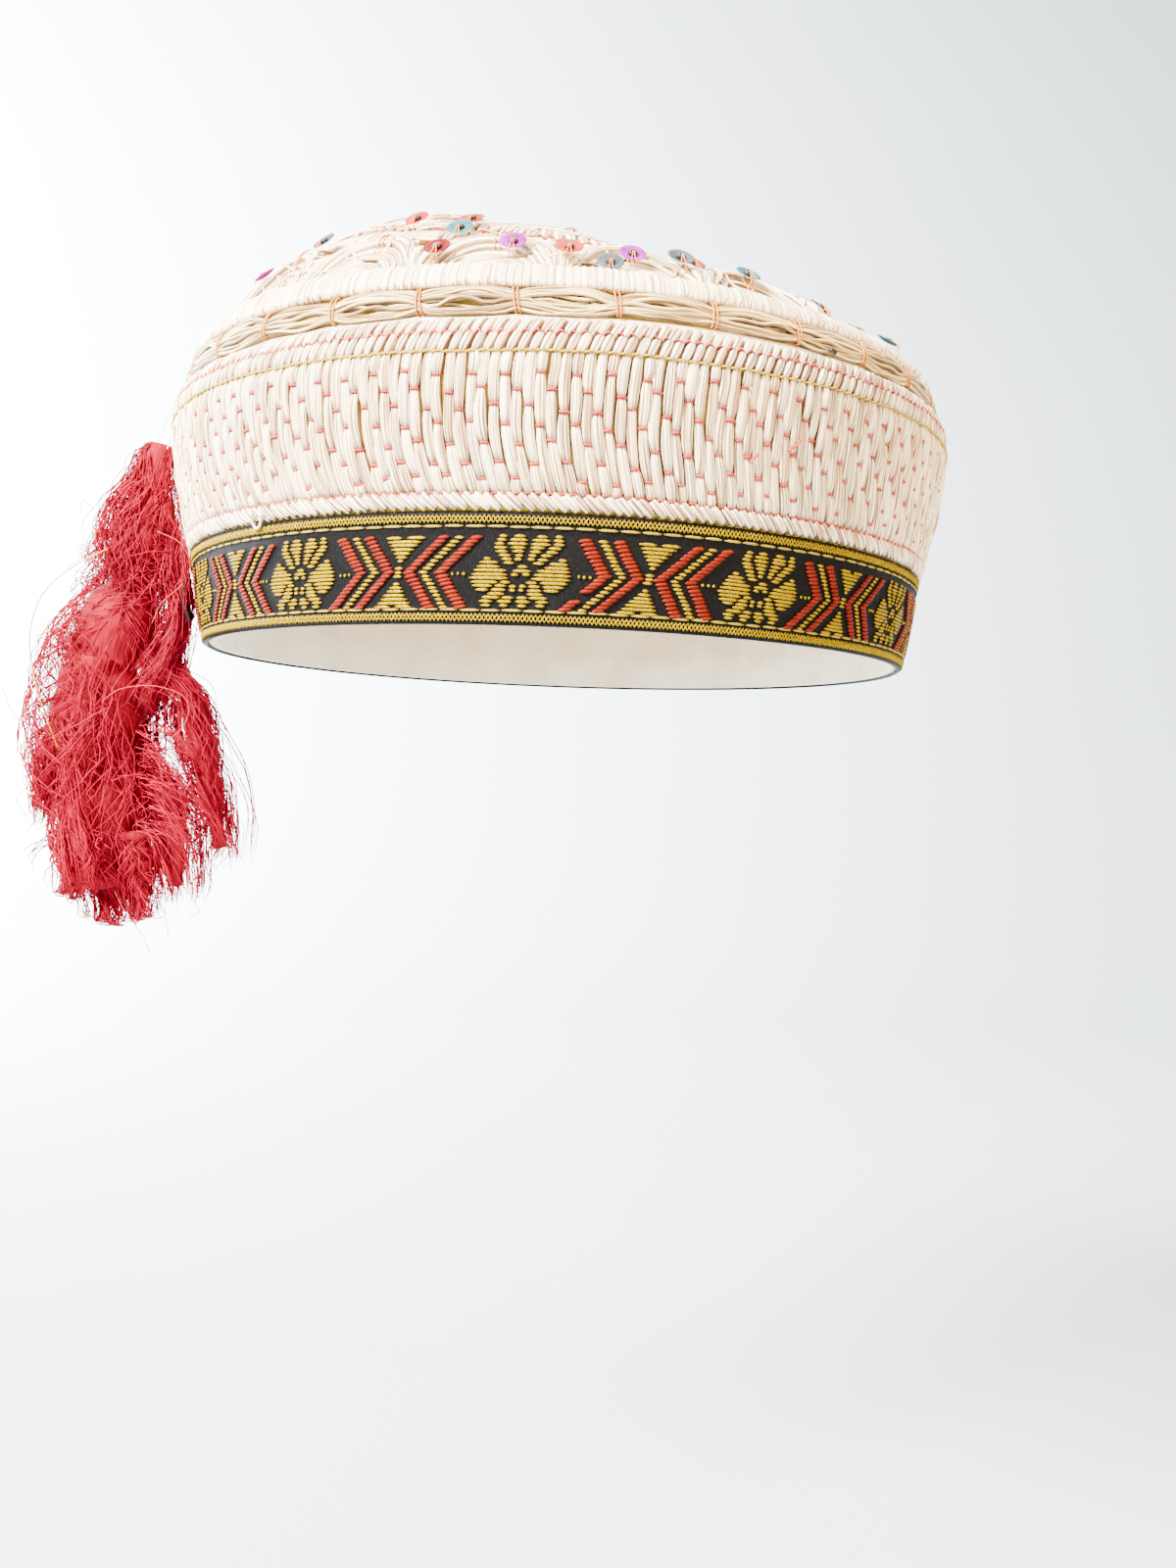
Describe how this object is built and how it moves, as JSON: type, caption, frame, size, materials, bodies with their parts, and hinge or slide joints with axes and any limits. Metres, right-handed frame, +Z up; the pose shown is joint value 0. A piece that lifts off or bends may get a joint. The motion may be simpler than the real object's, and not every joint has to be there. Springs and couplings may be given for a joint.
{
  "type": "tubeteika skullcap",
  "caption": "Oval embroidered skullcap with a woven flower ribbon round the rim, a domed sequinned crown and a teased floss tassel hanging from one side.",
  "frame": {"origin": "middle of the rim's opening, in the plane of its lower edge, where the head goes in", "axes": "+Z up towards the crown, -Y towards the front of the wearer, -X towards the tassel; the head leaves downward, along -Z"},
  "size_m": [0.2135, 0.2056, 0.1624],
  "materials": {
    "wall_floss": "glossy ecru floss couched in upright columns",
    "ribbon_weave": "black satin ribbon woven with gold and red flowers and chevrons",
    "crown_floss": "padded ecru floss",
    "rope_floss": "loose ecru floss over mustard cloth",
    "ring_floss": "satin-stitched padded ring",
    "tassel_floss": "teased crimson floss",
    "sequin_magenta": "shiny",
    "sequin_teal": "shiny",
    "sequin_red": "shiny",
    "sequin_coral": "shiny",
    "sequin_grey": "shiny"
  },
  "bodies": {
    "root": {"side_wall": "wall_floss", "rim_ribbon": "ribbon_weave", "crown": "crown_floss", "edge_floss_ring": "rope_floss", "padded_ring": "ring_floss", "tassel": "tassel_floss", "sequin_01": "sequin_grey", "sequin_02": "sequin_coral", "sequin_03": "sequin_teal", "sequin_04": "sequin_red", "sequin_05": "sequin_coral", "sequin_06": "sequin_magenta", "sequin_07": "sequin_coral", "sequin_08": "sequin_grey", "sequin_09": "sequin_magenta", "sequin_10": "sequin_grey", "sequin_11": "sequin_teal", "sequin_12": "sequin_red", "sequin_13": "sequin_grey", "sequin_14": "sequin_teal", "sequin_15": "sequin_magenta", "sequin_16": "sequin_teal", "sequin_17": "sequin_coral", "sequin_18": "sequin_red", "sequin_19": "sequin_grey", "sequin_20": "sequin_magenta", "sequin_21": "sequin_teal", "sequin_22": "sequin_coral", "sequin_23": "sequin_red", "sequin_24": "sequin_grey", "sequin_25": "sequin_magenta", "sequin_26": "sequin_coral", "sequin_27": "sequin_red", "sequin_28": "sequin_grey", "sequin_29": "sequin_magenta", "sequin_30": "sequin_teal", "sequin_31": "sequin_coral", "sequin_32": "sequin_magenta"}
  },
  "joints": []
}
